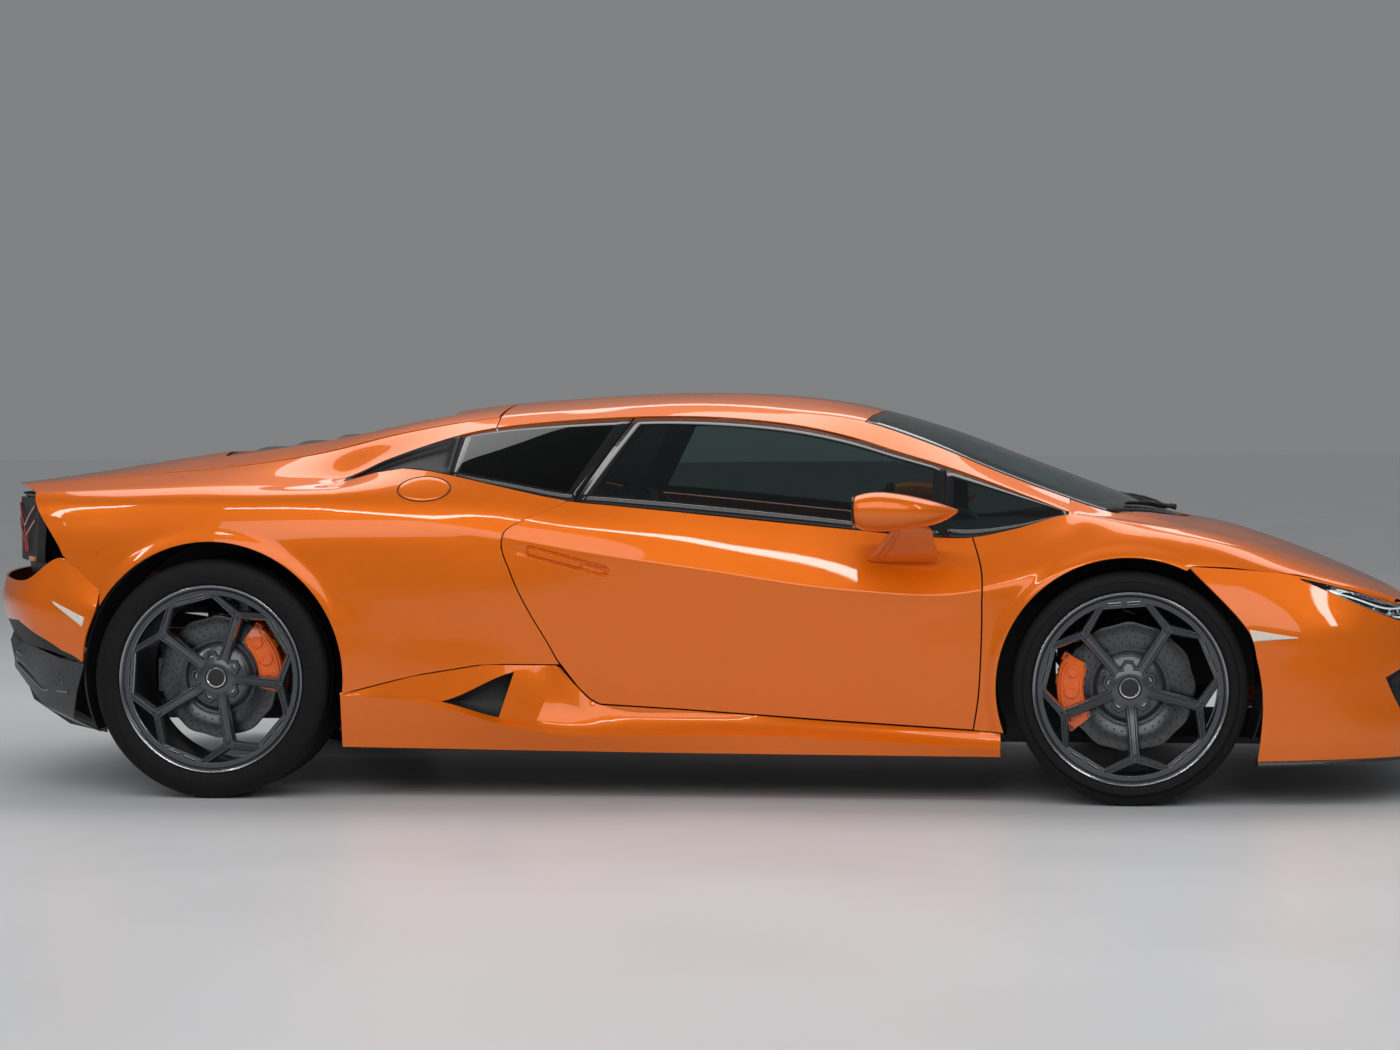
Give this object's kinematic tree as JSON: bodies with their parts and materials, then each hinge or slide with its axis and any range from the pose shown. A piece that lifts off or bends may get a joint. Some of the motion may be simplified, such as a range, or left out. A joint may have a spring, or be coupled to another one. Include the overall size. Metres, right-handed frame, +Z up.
{
  "type": "supercar",
  "caption": "Low wedge-shaped mid-engined two-seat coupe with opening doors, bonnet and engine cover, steered front wheels and turning wheels.",
  "frame": {"origin": "on the ground, at the middle of the car's length and width", "axes": "+X towards the nose, +Y to the car's left, +Z up"},
  "size_m": [4.4551, 2.236, 1.1679],
  "materials": {
    "paint": "gloss",
    "structure": "satin",
    "black_plastic": "matte",
    "glass": "tinted",
    "lamp_glass": "clear",
    "trim": "grained",
    "seat_leather": "grained",
    "wheel_leather": "smooth",
    "engine_metal": "cast",
    "steel": "brushed",
    "wiper_black": "matte",
    "tyre": "matte",
    "rim_metal": "satin",
    "disc_iron": "machined"
  },
  "bodies": {
    "chassis": {"floor_pan": "structure", "body_frame": "structure", "luggage_tub": "trim", "wheel_liners": "black_plastic", "side_skirts": "paint", "front_bumper": "paint", "rear_bumper": "paint", "rear_diffuser": "black_plastic", "left_front_fender": "paint", "right_front_fender": "paint", "left_rear_quarter": "paint", "right_rear_quarter": "paint", "roof": "paint", "windshield": "glass", "fixed_windows": "glass", "lamps": "lamp_glass", "dashboard": "trim", "seats": "seat_leather", "engine_block": "engine_metal", "exhaust": "steel", "wipers": "wiper_black", "suspension": "structure"},
    "bonnet": {"bonnet": "paint"},
    "engine_cover": {"engine_cover": "paint"},
    "left_door": {"left_door": "paint", "left_door_window": "glass", "left_mirror": "paint"},
    "right_door": {"right_door": "paint", "right_door_window": "glass", "right_mirror": "paint"},
    "steering_wheel": {"steering_wheel": "wheel_leather"},
    "front_left_knuckle": {"front_left_knuckle": "engine_metal"},
    "front_right_knuckle": {"front_right_knuckle": "engine_metal"},
    "front_left_wheel": {"front_left_tyre": "tyre", "front_left_rim": "rim_metal", "front_left_disc": "disc_iron"},
    "front_right_wheel": {"front_right_tyre": "tyre", "front_right_rim": "rim_metal", "front_right_disc": "disc_iron"},
    "rear_left_wheel": {"rear_left_tyre": "tyre", "rear_left_rim": "rim_metal", "rear_left_disc": "disc_iron"},
    "rear_right_wheel": {"rear_right_tyre": "tyre", "rear_right_rim": "rim_metal", "rear_right_disc": "disc_iron"}
  },
  "joints": [
    {"name": "left_door_hinge", "type": "hinge", "parent": "chassis", "child": "left_door", "pos_m": [0.865, 0.885, 0.57], "axis": [0, 0, -1], "range_deg": [0, 55]},
    {"name": "right_door_hinge", "type": "hinge", "parent": "chassis", "child": "right_door", "pos_m": [0.865, -0.885, 0.57], "axis": [0, 0, 1], "range_deg": [0, 55]},
    {"name": "bonnet_hinge", "type": "hinge", "parent": "chassis", "child": "bonnet", "pos_m": [1.16, 0, 0.79], "axis": [0, -1, 0], "range_deg": [0, 50]},
    {"name": "engine_cover_hinge", "type": "hinge", "parent": "chassis", "child": "engine_cover", "pos_m": [-0.58, 0, 1.1], "axis": [0, 1, 0], "range_deg": [0, 45]},
    {"name": "left_steer", "type": "hinge", "parent": "chassis", "child": "front_left_knuckle", "pos_m": [1.22, 0.807, 0.327], "axis": [0, 0, 1], "range_deg": [-28, 28]},
    {"name": "right_steer", "type": "hinge", "parent": "chassis", "child": "front_right_knuckle", "pos_m": [1.22, -0.807, 0.327], "axis": [0, 0, 1], "range_deg": [-28, 28]},
    {"name": "steering_wheel_spin", "type": "hinge", "parent": "chassis", "child": "steering_wheel", "pos_m": [0.43, 0.35, 0.715], "axis": [-0.9397, 0, 0.342], "range_deg": [-364, 364]},
    {"name": "front_left_spin", "type": "hinge", "parent": "front_left_knuckle", "child": "front_left_wheel", "pos_m": [1.22, 0.834, 0.327], "axis": [0, 1, 0], "continuous": true},
    {"name": "front_right_spin", "type": "hinge", "parent": "front_right_knuckle", "child": "front_right_wheel", "pos_m": [1.22, -0.834, 0.327], "axis": [0, 1, 0], "continuous": true},
    {"name": "rear_left_spin", "type": "hinge", "parent": "chassis", "child": "rear_left_wheel", "pos_m": [-1.4, 0.81, 0.345], "axis": [0, 1, 0], "continuous": true},
    {"name": "rear_right_spin", "type": "hinge", "parent": "chassis", "child": "rear_right_wheel", "pos_m": [-1.4, -0.81, 0.345], "axis": [0, 1, 0], "continuous": true}
  ],
  "couplings": [
    {"joint": "right_steer", "follows": "left_steer", "ratio": 1},
    {"joint": "steering_wheel_spin", "follows": "left_steer", "ratio": 13}
  ]
}
